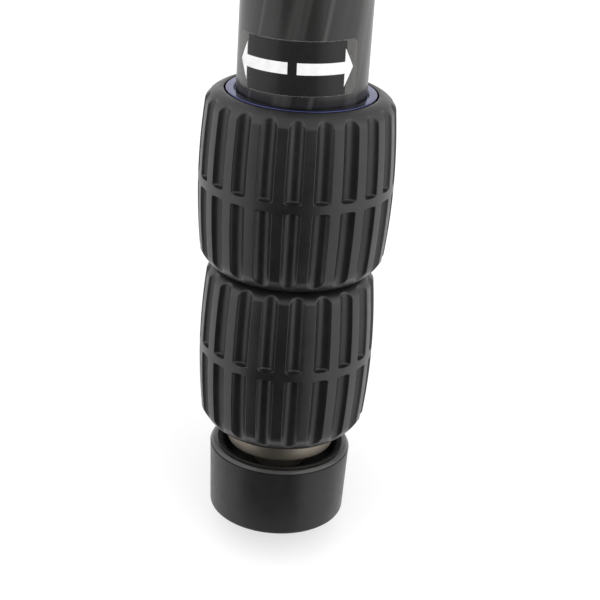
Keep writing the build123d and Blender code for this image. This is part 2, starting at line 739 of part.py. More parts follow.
def hook():
    """The weight hook on its stem, with the collar that a spring presses on, in the hub frame."""
    cap_bottom = COLUMN_BOTTOM - CAP_HEIGHT
    ring_centre = cap_bottom - HOOK_RING_OUTER - FREE_GAP
    stem_top = COLUMN_BOTTOM + HOOK_STEM_RISE
    with BuildPart() as made:
        with BuildSketch(Plane.XZ):
            with Locations((0, ring_centre)):
                Circle(HOOK_RING_OUTER)
                Circle(HOOK_RING_INNER, mode=Mode.SUBTRACT)
            with Locations((-HOOK_RING_OUTER, ring_centre + HOOK_MOUTH / 2 + HOOK_MOUTH_RISE)):
                Rectangle(2 * HOOK_RING_INNER, HOOK_MOUTH, mode=Mode.SUBTRACT)
        extrude(amount=HOOK_THICKNESS / 2, both=True)
        with Locations((0, 0, stem_top)):
            Cylinder(
                HOOK_STEM_RADIUS,
                stem_top - cap_bottom + HOOK_STEM_ROOT,
                align=(Align.CENTER, Align.CENTER, Align.MAX),
            )
            Cylinder(
                HOOK_STOP_RADIUS,
                HOOK_STOP_HEIGHT,
                align=(Align.CENTER, Align.CENTER, Align.MAX),
            )
    return made.part


def leg_pieces():
    """Every piece of one leg, in the leg frame, by the last part of its node's name."""
    lower = Location((0, 0, LOWER_LOCK_SOLE))
    upper = Location((0, 0, UPPER_LOCK_SOLE))
    upper_bore = UPPER_TUBE_RADIUS - UPPER_TUBE_WALL
    middle_bore = MIDDLE_TUBE_RADIUS - MIDDLE_TUBE_WALL
    return {
        "knuckle": [knuckle()],
        "catch": [catch()],
        "upper_tube": [
            tube(
                UPPER_TUBE_RADIUS, UPPER_TUBE_WALL, UPPER_LOCK_SOLE + UPPER_LOCK.seat, UPPER_TUBE_TOP
            )
        ],
        "upper_ferrule": [ferrule(UPPER_LOCK).moved(upper)],
        "upper_collet": [collet(UPPER_LOCK).moved(upper)],
        "upper_nut": [nut(UPPER_LOCK).moved(upper)],
        "upper_grip": [grip(UPPER_LOCK).moved(upper)],
        "middle_tube": [
            holed_tube(
                MIDDLE_TUBE_RADIUS,
                MIDDLE_TUBE_WALL,
                LOWER_LOCK_SOLE + LOWER_LOCK.seat,
                MIDDLE_TUBE_TOP,
            )
        ],
        "middle_ferrule": [ferrule(LOWER_LOCK).moved(lower)],
        "middle_bushes": [
            *glides(MIDDLE_TUBE_RADIUS, upper_bore, MIDDLE_TUBE_TOP),
            collet(LOWER_LOCK).moved(lower),
        ],
        "lower_nut": [nut(LOWER_LOCK).moved(lower)],
        "lower_grip": [grip(LOWER_LOCK).moved(lower)],
        "lower_tube": [
            holed_tube(
                LOWER_TUBE_RADIUS, LOWER_TUBE_WALL, COLLAR_BOTTOM + COLLAR_FLOOR, LOWER_TUBE_TOP
            )
        ],
        "lower_glides": glides(LOWER_TUBE_RADIUS, middle_bore, LOWER_TUBE_TOP),
        "foot_spike": [foot_spike()],
        "foot_pad": [foot_pad()],
    }


def hub_pieces():
    """The shoulder, the column and what they carry, in the hub frame."""
    lock = Location((0, 0, COLUMN_LOCK_TOP), (180, 0, 0))
    bolts = [part.rotate(Axis.Z, a) for a in LEG_AZIMUTHS for part in hinge_bolt()]
    plate_top = COLUMN_TOP + PLATE_THICKNESS
    pad = tube(PAD_OUTER, PAD_OUTER - PAD_INNER, plate_top, plate_top + PAD_THICKNESS)
    return {
        "shoulder": [shoulder()],
        "hinge_bolts": bolts,
        "column_collet": [collet(COLUMN_LOCK).moved(lock)],
        "column_lock_nut": [nut(COLUMN_LOCK).moved(lock)],
        "column_lock_grip": [grip(COLUMN_LOCK).moved(lock)],
        "column_tube": [tube(COLUMN_RADIUS, COLUMN_WALL, COLUMN_BOTTOM, COLUMN_TOP)],
        "head_plate": [head_plate()],
        "head_pad": [pad],
        "head_screw": [head_screw()],
        "head_set_screws": set_screws(),
        "column_cap": [column_cap()],
        "weight_hook": [hook()],
    }


def hinge_height():
    """Height of the hinge pins over the floor, with the rounded inner edges of the soles on it."""
    lean = radians(LEG_SPREAD)
    flat = FOOT_SOLE_RADIUS - FOOT_EDGE_ROUND
    return flat * sin(lean) + (LEG_LENGTH - FOOT_EDGE_ROUND) * cos(lean) + FOOT_EDGE_ROUND


def column_offset():
    """How far behind the origin the column stands, so that the stance's box is centred on it."""
    lean = radians(LEG_SPREAD)
    foot_distance = HINGE_RADIUS + LEG_LENGTH * sin(lean)
    front = foot_distance + FOOT_SOLE_RADIUS * cos(lean)
    side_lean = sin(lean) / 2
    back = foot_distance / 2 + FOOT_SOLE_RADIUS * sqrt(1 - side_lean**2)
    return (front - back) / 2


def leg_place(azimuth):
    """From the leg frame to the standing tripod's."""
    hinge = Location((HINGE_RADIUS, 0, 0)) * Location((0, 0, 0), (0, -LEG_SPREAD, 0))
    return hub_place() * Location((0, 0, 0), (0, 0, azimuth)) * hinge * Location((0, 0, -LEG_LENGTH))


def hub_place():
    """From the hub frame to the standing tripod's."""
    return Location((0, column_offset(), hinge_height()))


def export(name, shapes, place):
    """Writes one node's file, as one solid or as a group of separate solids."""
    solids = [s.moved(place) for shape in shapes for s in shape.solids()]
    whole = solids[0] if len(solids) == 1 else Compound(children=solids)
    export_step(whole, f"parts/{name}.step")


os.makedirs("parts", exist_ok=True)
for piece, shapes in hub_pieces().items():
    export(piece, shapes, hub_place())
pieces = leg_pieces()
for number, azimuth in enumerate(LEG_AZIMUTHS, start=1):
    for piece, shapes in pieces.items():
        export(f"leg_{number}_{piece}", shapes, leg_place(azimuth))
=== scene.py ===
"""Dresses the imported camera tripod, and sets the floor, the lights and the photographed view.

Leg frames: Z runs up the leg from the middle of the foot's sole, X points away from the column, and
Y lies along the hinge pin. Angles round a leg start at X, which faces the camera on leg 1, and grow
towards the right of the picture. Everything is in metres.
"""
import json
from math import cos, hypot, pi, radians, sin, sqrt

import bmesh
import bpy
from mathutils import Matrix, Vector


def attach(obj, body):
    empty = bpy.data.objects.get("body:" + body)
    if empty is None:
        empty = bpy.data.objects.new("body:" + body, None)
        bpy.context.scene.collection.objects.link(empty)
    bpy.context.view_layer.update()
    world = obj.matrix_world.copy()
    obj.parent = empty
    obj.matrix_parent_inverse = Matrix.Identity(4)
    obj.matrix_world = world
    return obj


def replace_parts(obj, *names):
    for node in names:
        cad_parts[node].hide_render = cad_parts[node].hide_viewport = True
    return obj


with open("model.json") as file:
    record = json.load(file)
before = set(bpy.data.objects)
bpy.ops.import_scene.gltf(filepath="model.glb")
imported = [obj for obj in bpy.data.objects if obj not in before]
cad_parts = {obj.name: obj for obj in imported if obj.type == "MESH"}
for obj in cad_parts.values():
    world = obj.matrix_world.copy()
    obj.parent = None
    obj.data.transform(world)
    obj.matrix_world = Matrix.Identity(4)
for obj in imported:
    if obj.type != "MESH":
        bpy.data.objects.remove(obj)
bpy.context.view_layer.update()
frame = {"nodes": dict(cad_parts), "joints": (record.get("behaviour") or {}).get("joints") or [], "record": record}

MM = 0.001
LEGS = (1, 2, 3)
NEAR = 0.02 * MM  # heights and radii this close count as the same

# Camera, from a fit to the photographed leg's outlines, in the leg's own directions
PICTURE_WIDTH = 600
FOCAL_PIXELS = 1478.0
SENSOR = 36.0
CLIP_START = 10 * MM
CAMERA_BACK = 305.8 * MM  # from the leg's axis towards the camera
CAMERA_UP = 186.3 * MM  # above the foot's sole, along the leg
CAMERA_PITCH = radians(23.64)
CAMERA_YAW = radians(0.49)
CAMERA_ROLL = radians(3.79)

# Surroundings, whose directions start from the side of leg 1 that faces the camera
FLOOR_SIZE = 8.0
FLOOR_COLOUR = 0.60
FLOOR_GLOW = 0.45
CARD_NEAR = 45 * MM  # radius of the dark card's lower edge, round the foot
CARD_FAR = 350 * MM  # and of its upper edge
CARD_HEIGHT = 310 * MM
CARD_LEFT = radians(-50)
CARD_RIGHT = radians(32)
CARD_STEPS = 24
LAMP_DISTANCE = 1.1
LAMP_RISE = radians(30)
LAMP_SIZE = 1.4
LAMP_AIM = 60 * MM  # above the foot's sole, along the leg
LAMPS = (("left", radians(-90), 4.1), ("right", radians(76), 5.5))  # direction and power

# Smoothness of the pieces made here
LATHE_STEPS = 144
GRIP_ROWS_PER_MM = 0.8
THREAD_STEPS = 64
THREAD_ROWS = 12  # for each turn
SMOOTH_BELOW = 35.0  # degrees: sharper edges stay sharp

# Flutes of the grips, and the plain band round their middle
FLUTE_HALF = 1.82 * MM  # half the width of a flute's mouth
FLUTE_DEPTH = 1.3 * MM  # at the band
FLUTE_END_DEPTH = 1.15 * MM  # where the ribs end
FLUTE_EDGE = 0.28 * MM  # softness of the moulded edges
FLUTE_REACH = 0.98  # share of its radius over which a flute's arc is followed
BAND_HALF = 0.95 * MM
BAND_RAMP = 0.6 * MM  # of the hollow that leads up to the band
BAND_RISE = 0.3 * MM  # how far the band lies above the grip's middle

# Painted shade in the flutes: the rubber's specular level is lowered towards their bottoms, by an amount that the
# rubber's material reads from the mesh under this name
FLUTE_SHADE_ATTRIBUTE = "hollow"
SHADE_START = 0.68  # share of a flute's depth
SHADE_RAMP = 0.3
RIB_LEVEL = 0.5  # specular level of the ribs, outside the painted shade
# specular level at the bottom of a flute, as painted shade
SHADE_LEVEL = 0.38

# Carbon tubes: the ribbons' lay in radians for each metre, and the light ones among them, by
# middle and width in turns and by colour
CARBON_TWIST = -11.5
CARBON_DARK = (0.019, 0.0185, 0.018)
CARBON_RIBBONS = (
    (0.174, 0.008, (0.052, 0.050, 0.049)),
    (0.266, 0.042, (0.046, 0.045, 0.044)),
    (0.336, 0.008, (0.056, 0.054, 0.053)),
    (0.445, 0.045, (0.040, 0.039, 0.038)),
    (0.590, 0.009, (0.054, 0.052, 0.051)),
    (0.700, 0.036, (0.043, 0.042, 0.041)),
    (0.880, 0.009, (0.050, 0.048, 0.047)),
)
RIBBON_BLUR = 0.12  # half the blur of a ribbon's edge, as a share of its width
FIBRE_STRETCH = 0.02  # scale along the fibres, against that across them
TUBE_EDGE = 0.15 * MM

# Label on each upper tube, whose arrows are mirrored about its middle
LABEL_MIDDLE = radians(-8.9)
LABEL_HEIGHT = 11.2 * MM
LABEL_CENTRE = 8.05 * MM  # above the grip's top end
LABEL_TILT = radians(1.25)  # as it was stuck on by hand
LABEL_THICKNESS = 0.05 * MM
LABEL_LIFT = 0.01 * MM  # clear of the tube
FILM_HALF = radians(60.0)
FILM_MARGIN = 0.2 * MM  # above and below the print
FILM_CORNER = 1.6 * MM
PRINT_SHIFT = radians(1.4)  # of the black print on its film
PRINT_CORNER = 0.3 * MM
ARROW_INNER = radians(3.95)
ARROW_NECK = radians(45.9)  # where the black print ends too
ARROW_TIP = radians(54.8)
ARROW_SHAFT = 2.45 * MM
ARROW_HEAD = 8.0 * MM
ARROW_POINT = 0.01 * MM  # half the width that the tip keeps

# Rubber foot, with a seam under its rim, and a dish in its top that leaves room for the collar
FOOT_BORE = 6.1 * MM
SOLE_EDGE = 0.8 * MM
SEAM_DROP = 1.0 * MM  # from the top of the rim
SEAM = (  # points along it, in mm, inwards from the wall and up from the seam's height
    (0.03, -0.5), (0.0, -0.2), (0.05, -0.06), (0.4, -0.12), (0.4, 0.08), (0.12, 0.1)
)
RIM_CREST = 1.5 * MM  # from the wall in to the highest place
RIM_PULL = 0.55 * MM  # from the wall in to what the curve up to there is bent towards
BEAD_DEPTH = 0.9 * MM  # of the polished roll round the rim
DISH_RADIUS = 12.75 * MM
DISH_FLOOR = 12.2 * MM  # above the sole
DISH_EDGE = 0.5 * MM  # round its floor
DISH_BEND = 2.3 * MM  # from the rim's top down to where the dish's side is straight
DISH_PULL = 0.15 * MM  # from that side out to what the curve down to it is bent towards
SHADED_DISH_RADIUS = 14.6 * MM  # inside which the dish gets a darker, less glossy rubber as painted shade

# Spike, with the collar above it and the plug in the tube
SPIKE_RADIUS = 6.0 * MM
SPIKE_POINT = 6.0 * MM
COLLAR_EDGE = 0.4 * MM
COLLAR_DROP = 0.25 * MM  # of its lower edge, below the CAD solid's
PLUG_WALL = 2 * MM

# Anodised ferrules
FERRULE_EDGE = 0.22 * MM
FERRULE_GAP = 0.3 * MM  # round the tube
FERRULE_GROOVE = 0.9 * MM  # depth of that gap
FERRULE_SEAT = 6.0 * MM  # from its lower end up to the tube

# Camera screw
SCREW_RADIUS = 4.7625 * MM
THREAD_PITCH = 1.5875 * MM
THREAD_DEPTH = 0.9 * MM


# Frame of each leg and of the column


def joint(name):
    return next(j for j in frame["joints"] if j["name"] == name)


def vertices(node):
    return [v.co.copy() for v in frame["nodes"][node].data.vertices]


def leg_matrix(number):
    """The leg's frame, with its origin in the middle of the foot's sole."""
    up = -Vector(joint(f"leg_{number}_middle_slide")["axis"])
    out = Vector(joint(f"leg_{number}_catch_pull")["axis"])
    hinge = Vector(joint(f"leg_{number}_fold")["pos_m"])
    sole = min((co - hinge).dot(up) for co in vertices(f"leg_{number}_foot_pad"))
    origin = hinge + up * sole
    across = up.cross(out)
    return Matrix(
        (
            (out.x, across.x, up.x, origin.x),
            (out.y, across.y, up.y, origin.y),
            (out.z, across.z, up.z, origin.z),
            (0, 0, 0, 1),
        )
    )


def hub_matrix():
    """The column's frame, with its origin on the floor."""
    place = Vector(joint("column_lock_turn")["pos_m"])
    return Matrix.Translation((place.x, place.y, 0))


LEG_FRAMES = {number: leg_matrix(number) for number in LEGS}
HUB_FRAME = hub_matrix()


def local_vertices(node, matrix):
    inverse = matrix.inverted()
    return [inverse @ co for co in vertices(node)]


def local_span(node, matrix):
    """Lowest and highest place of a CAD node along the Z of a frame, and its largest radius."""
    places = local_vertices(node, matrix)
    heights = [p.z for p in places]
    return min(heights), max(heights), max(hypot(p.x, p.y) for p in places)


def ring_radii(node, matrix, height):
    """Smallest and largest radius of a CAD node's vertices at a height of a frame."""
    near = [p for p in local_vertices(node, matrix) if abs(p.z - height) < NEAR]
    radii = [hypot(p.x, p.y) for p in near]
    return min(radii), max(radii)


def full_heights(node, matrix):
    """Lowest and highest height at which a CAD node has its full radius."""
    places = local_vertices(node, matrix)
    full = max(hypot(p.x, p.y) for p in places) - NEAR
    heights = [p.z for p in places if hypot(p.x, p.y) > full]
    return min(heights), max(heights)


# Shader nodes


class Shader:
    """One material under construction."""

    def __init__(self, name):
        self.name = name
        self.material = bpy.data.materials.new(name)
        self.material.use_nodes = True
        self.tree = self.material.node_tree
        self.surface = self.tree.nodes["Principled BSDF"]

    def node(self, kind, **values):
        made = self.tree.nodes.new(kind)
        for key, value in values.items():
            setattr(made, key, value)
        return made

    def link(self, source, target):
        self.tree.links.new(source, target)

    def set(self, **values):
        """Values on the surface's own sockets, with underscores for the spaces in their names."""
        for key, value in values.items():
            socket = self.surface.inputs[key.replace("_", " ")]
            if isinstance(value, tuple) and len(value) == 3:
                value = (*value, 1.0)
            socket.default_value = value
        return self

    def coordinates(self, scale=(1.0, 1.0, 1.0), twist=0.0):
        """Object coordinates, scaled, and twisted about Z by so many radians for each metre."""
        place = self.node("ShaderNodeTexCoord").outputs["Object"]
        if twist:
            split = self.node("ShaderNodeSeparateXYZ")
            self.link(place, split.inputs[0])
            turn = self.node("ShaderNodeMath", operation="MULTIPLY")
            self.link(split.outputs["Z"], turn.inputs[0])
            turn.inputs[1].default_value = twist
            rotate = self.node("ShaderNodeVectorRotate", rotation_type="Z_AXIS")
            self.link(place, rotate.inputs["Vector"])
            self.link(turn.outputs[0], rotate.inputs["Angle"])
            place = rotate.outputs[0]
        mapping = self.node("ShaderNodeMapping")
        mapping.inputs["Scale"].default_value = scale
        self.link(place, mapping.inputs["Vector"])
        return mapping.outputs[0]

    def noise(self, place, scale, detail=2.0, roughness=0.5):
        made = self.node("ShaderNodeTexNoise")
        made.inputs["Scale"].default_value = scale
        made.inputs["Detail"].default_value = detail
        made.inputs["Roughness"].default_value = roughness
        self.link(place, made.inputs["Vector"])
        return made.outputs["Fac"]

    def ramp(self, factor, stops):
        made = self.node("ShaderNodeValToRGB")
        elements = made.color_ramp.elements
        while len(elements) < len(stops):
            elements.new(0.5)
        for element, (place, colour) in zip(elements, stops):
            element.position = place
            element.color = (*colour, 1.0)
        self.link(factor, made.inputs[0])
        return made.outputs[0]

    def spread(self, factor, low, high):
        """The factor, moved from 0.3 to 0.7 into low to high."""
        made = self.node("ShaderNodeMapRange")
        made.inputs["From Min"].default_value = 0.3
        made.inputs["From Max"].default_value = 0.7
        made.inputs["To Min"].default_value = low
        made.inputs["To Max"].default_value = high
        self.link(factor, made.inputs["Value"])
        return made.outputs[0]

    def bump(self, height, strength, distance):
        made = self.node("ShaderNodeBump")
        made.inputs["Strength"].default_value = strength
        made.inputs["Distance"].default_value = distance
        self.link(height, made.inputs["Height"])
        self.link(made.outputs[0], self.surface.inputs["Normal"])

    def colour(self, source):
        self.link(source, self.surface.inputs["Base Color"])

    def roughness(self, source):
        self.link(source, self.surface.inputs["Roughness"])


def moulded(name, dark, light, rough, grain=0.06 * MM, level=0.4):
    """Rubber or plastic with a soft mottle, a fine grain and a patchy sheen."""
    shader = Shader(name).set(Specular_IOR_Level=level)
    place = shader.coordinates()
    mottle = shader.noise(place, 160.0, detail=4.0, roughness=0.6)
    shader.colour(shader.ramp(mottle, ((0.35, dark), (0.68, light))))
    shader.roughness(shader.spread(shader.noise(place, 420.0, detail=3.0), *rough))
    shader.bump(shader.noise(place, 4200.0, detail=3.0, roughness=0.6), 0.5, grain)
    return shader


def rubber():
    """The grips' rubber, whose specular level is lowered at the bottom of its flutes as painted shade."""
    shader = moulded("rubber", (0.0070,) * 3, (0.0112,) * 3, (0.33, 0.41), 0.03 * MM)
    hollow = shader.node("ShaderNodeAttribute", attribute_name=FLUTE_SHADE_ATTRIBUTE).outputs["Fac"]
    level = shader.node("ShaderNodeMapRange")
    level.inputs["To Min"].default_value = RIB_LEVEL
    level.inputs["To Max"].default_value = SHADE_LEVEL
    shader.link(hollow, level.inputs["Value"])
    # painted shade: less specular reflection towards the bottom of each flute
    shader.link(level.outputs[0], shader.surface.inputs["Specular IOR Level"])
    return shader


def carbon():
    """Carbon ribbons wound steeply round the tube, under clear lacquer."""
    shader = Shader("carbon").set(Coat_Weight=0.25, Coat_Roughness=0.18, Specular_IOR_Level=0.35)
    wound = shader.coordinates(twist=CARBON_TWIST)
    turn = shader.node("ShaderNodeTexGradient", gradient_type="RADIAL")
    shader.link(wound, turn.inputs["Vector"])
    stops = [(0.0, CARBON_DARK)]
    for middle, width, tone in CARBON_RIBBONS:
        blur = RIBBON_BLUR * width
        stops += [
            (middle - width / 2 - blur, CARBON_DARK),
            (middle - width / 2 + blur, tone),
            (middle + width / 2 - blur, tone),
            (middle + width / 2 + blur, CARBON_DARK),
        ]
    ribbons = shader.ramp(turn.outputs["Fac"], stops)
    lengthwise = shader.coordinates((1.0, 1.0, FIBRE_STRETCH), CARBON_TWIST)
    fibres = shader.noise(lengthwise, 5200.0)
    cloud = shader.noise(lengthwise, 500.0)
    for factor, low, high in ((fibres, 0.80, 1.16), (cloud, 0.76, 1.24)):
        shade = shader.ramp(factor, ((0.3, (low,) * 3), (0.7, (high,) * 3)))
        mix = shader.node("ShaderNodeMix", data_type="RGBA", blend_type="MULTIPLY")
        mix.inputs[0].default_value = 1.0
        shader.link(ribbons, mix.inputs[6])
        shader.link(shade, mix.inputs[7])
        ribbons = mix.outputs[2]
    shader.colour(ribbons)
    shader.roughness(shader.spread(cloud, 0.42, 0.34))
    shader.bump(fibres, 0.15, 0.02 * MM)
    return shader


def turned(name, colour, shade, rough=(0.26, 0.36)):
    """Metal turned on a lathe: fine rings round Z, and a faint cloudiness."""
    shader = Shader(name).set(Metallic=1.0)
    cloud = shader.noise(shader.coordinates(), 90.0, detail=3.0)
    shader.colour(shader.ramp(cloud, ((0.35, shade), (0.65, colour))))
    lines = shader.noise(shader.coordinates((0.02, 0.02, 1.0)), 9000.0)
    shader.roughness(shader.spread(lines, *rough))
    shader.bump(lines, 0.12, 0.01 * MM)
    return shader


def casting():
    """A casting under a fine wrinkled black coating, worn a little lighter in patches."""
    shader = Shader("casting").set(Specular_IOR_Level=0.45)
    place = shader.coordinates()
    patches = shader.noise(place, 60.0, detail=4.0, roughness=0.6)
    stops = ((0.35, (0.036, 0.036, 0.038)), (0.70, (0.054, 0.054, 0.056)))
    shader.colour(shader.ramp(patches, stops))
    shader.roughness(shader.spread(shader.noise(place, 300.0), 0.42, 0.54))
    shader.bump(shader.noise(place, 2400.0, detail=3.0, roughness=0.55), 0.45, 0.10 * MM)
    return shader


def ink(name, colour, rough, level=0.4):
    """The label's print, under a gloss that varies a little."""
    shader = Shader(name).set(Specular_IOR_Level=level)
    place = shader.coordinates()
    tint = tuple(c * 0.9 for c in colour)
    shader.colour(shader.ramp(shader.noise(place, 500.0), ((0.35, tint), (0.65, colour))))
    shader.roughness(shader.spread(shader.noise(place, 900.0), rough, rough + 0.08))
    return shader


def clear_film():
    """The label's clear margin, a thin lacquer that only its gloss gives away."""
    shader = Shader("clear_film").set(Base_Color=(0.30, 0.29, 0.28), Alpha=0.16)
    shader.roughness(shader.spread(shader.noise(shader.coordinates(), 700.0), 0.12, 0.2))
    shader.material.blend_method = "BLEND"
    return shader


FINISHES = (
    rubber(),
    moulded(
        "foot_rubber", (0.0100, 0.0098, 0.0096), (0.0142, 0.0139, 0.0136), (0.34, 0.41),
        0.015 * MM, 0.27,
    ),
    carbon(),
    turned("blue_metal", (0.064, 0.071, 0.175), (0.055, 0.061, 0.150), (0.17, 0.25)),
    turned("collar_metal", (0.345, 0.308, 0.262), (0.275, 0.246, 0.205), (0.50, 0.58)),
    turned("plain_metal", (0.62, 0.62, 0.63), (0.54, 0.54, 0.55)),
    turned("black_metal", (0.050, 0.050, 0.053), (0.040, 0.040, 0.042), (0.30, 0.40)),
    turned("steel", (0.60, 0.59, 0.58), (0.52, 0.51, 0.50), (0.20, 0.30)),
    turned("black_steel", (0.10, 0.10, 0.10), (0.07, 0.07, 0.07), (0.28, 0.38)),
    casting(),
    moulded("plastic", (0.085, 0.085, 0.09), (0.11, 0.11, 0.115), (0.36, 0.46), 0.02 * MM),
    moulded("catch_plastic", (0.04, 0.04, 0.042), (0.05, 0.05, 0.053), (0.36, 0.46)),
    # Painted shade: darker, less glossy rubber for the inside of the foot's dish
    moulded(
        "shaded_dish_rubber", (0.0080, 0.0078, 0.0076), (0.0110, 0.0108, 0.0106), (0.6, 0.7),
        0.02 * MM, 0.12,
    ),
    moulded(
        "bead_rubber", (0.0090, 0.0088, 0.0086), (0.0130, 0.0127, 0.0124), (0.20, 0.26),
        0.01 * MM, 0.65,
    ),
    ink("label_black", (0.017, 0.0167, 0.017), 0.24, 0.22),
    ink("label_white", (0.92, 0.92, 0.93), 0.4),
    clear_film(),
)
MATERIALS = {finish.name: finish.material for finish in FINISHES}


# Meshes


def piece(name, mesh, matrix, body, slot=None, material=None):
    """A new piece in its frame, riding on a body, in the finish of a record's slot or its own."""
    made = bpy.data.objects.new(name, mesh)
    bpy.context.scene.collection.objects.link(made)
    made.matrix_world = matrix
    mesh.materials.append(MATERIALS[material or slot])
    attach(made, body)
    return made


def placed(name, mesh, matrix, body, slot):
    """A piece placed by its points, so that its box is as tight as the CAD part's."""
    mesh.transform(matrix)
    return piece(name, mesh, Matrix.Identity(4), body, slot)


def finished(name, bm, smooth_below=SMOOTH_BELOW):
    """Turns the bmesh into a mesh that is smooth but for edges sharper than the given angle."""
    bmesh.ops.recalc_face_normals(bm, faces=bm.faces)
    for face in bm.faces:
        face.smooth = True
    limit = radians(smooth_below)
    for edge in bm.edges:
        edge.smooth = len(edge.link_faces) == 2 and edge.calc_face_angle(0.0) < limit
    mesh = bpy.data.meshes.new(name)
    bm.to_mesh(mesh)
    bm.free()
    return mesh


def bridge(bm, rings):
    """Faces between each ring of points and the next."""
    for ring, following in zip(rings, rings[1:]):
        for i in range(len(ring)):
            j = (i + 1) % len(ring)
            bm.faces.new((ring[i], ring[j], following[j], following[i]))


def capped(name, bm, rings, smooth_below):
    """A closed mesh from rings of points, with a flat end on the first and the last."""
    bridge(bm, rings)
    bm.faces.new(list(reversed(rings[0])))
    bm.faces.new(rings[-1])
    return finished(name, bm, smooth_below)


def lathe(name, profile):
    """A closed solid of revolution about Z. The profile goes round its section once."""
    bm = bmesh.new()
    angles = [2 * pi * i / LATHE_STEPS for i in range(LATHE_STEPS)]
    rings = []
    for radius, height in profile:
        if radius == 0:
            rings.append([bm.verts.new((0, 0, height))])
        else:
            rings.append(
                [bm.verts.new((radius * cos(a), radius * sin(a), height)) for a in angles]
            )
    for ring, following in zip(rings, rings[1:] + rings[:1]):
        if len(ring) == 1 and len(following) == 1:
            continue
        for i in range(LATHE_STEPS):
            j = (i + 1) % LATHE_STEPS
            corners = [ring[i % len(ring)], ring[j % len(ring)]]
            corners += [following[j % len(following)], following[i % len(following)]]
            bm.faces.new(list(dict.fromkeys(corners)))
    return finished(name, bm)


def arc(centre, radius, start, end, count):
    """Points on an arc in the profile's plane, by angles in degrees."""
    angles = [radians(start + (end - start) * i / count) for i in range(count + 1)]
    return [(centre[0] + radius * cos(a), centre[1] + radius * sin(a)) for a in angles]


def bend(start, pull, end, count):
    """Points on a curve that leaves its start for the pull and comes from there to its end."""
    start, pull, end = Vector(start), Vector(pull), Vector(end)
    points = []
    for i in range(count + 1):
        t = i / count
        p = start * (1 - t) ** 2 + pull * 2 * t * (1 - t) + end * t * t
        points.append((p.x, p.y))
    return points


def even(start, end, count):
    """Evenly spaced values from the start to the end."""
    return [start + (end - start) * i / count for i in range(count + 1)]


# Grips


def soft_min(a, b, width):
    """The smaller of two values, rounded over where they meet."""
    gap = max(0.0, width - abs(a - b)) / width
    return min(a, b) - gap * gap * width / 4


def smooth_step(value):
    value = min(1.0, max(0.0, value))
    return value * value * (3 - 2 * value)


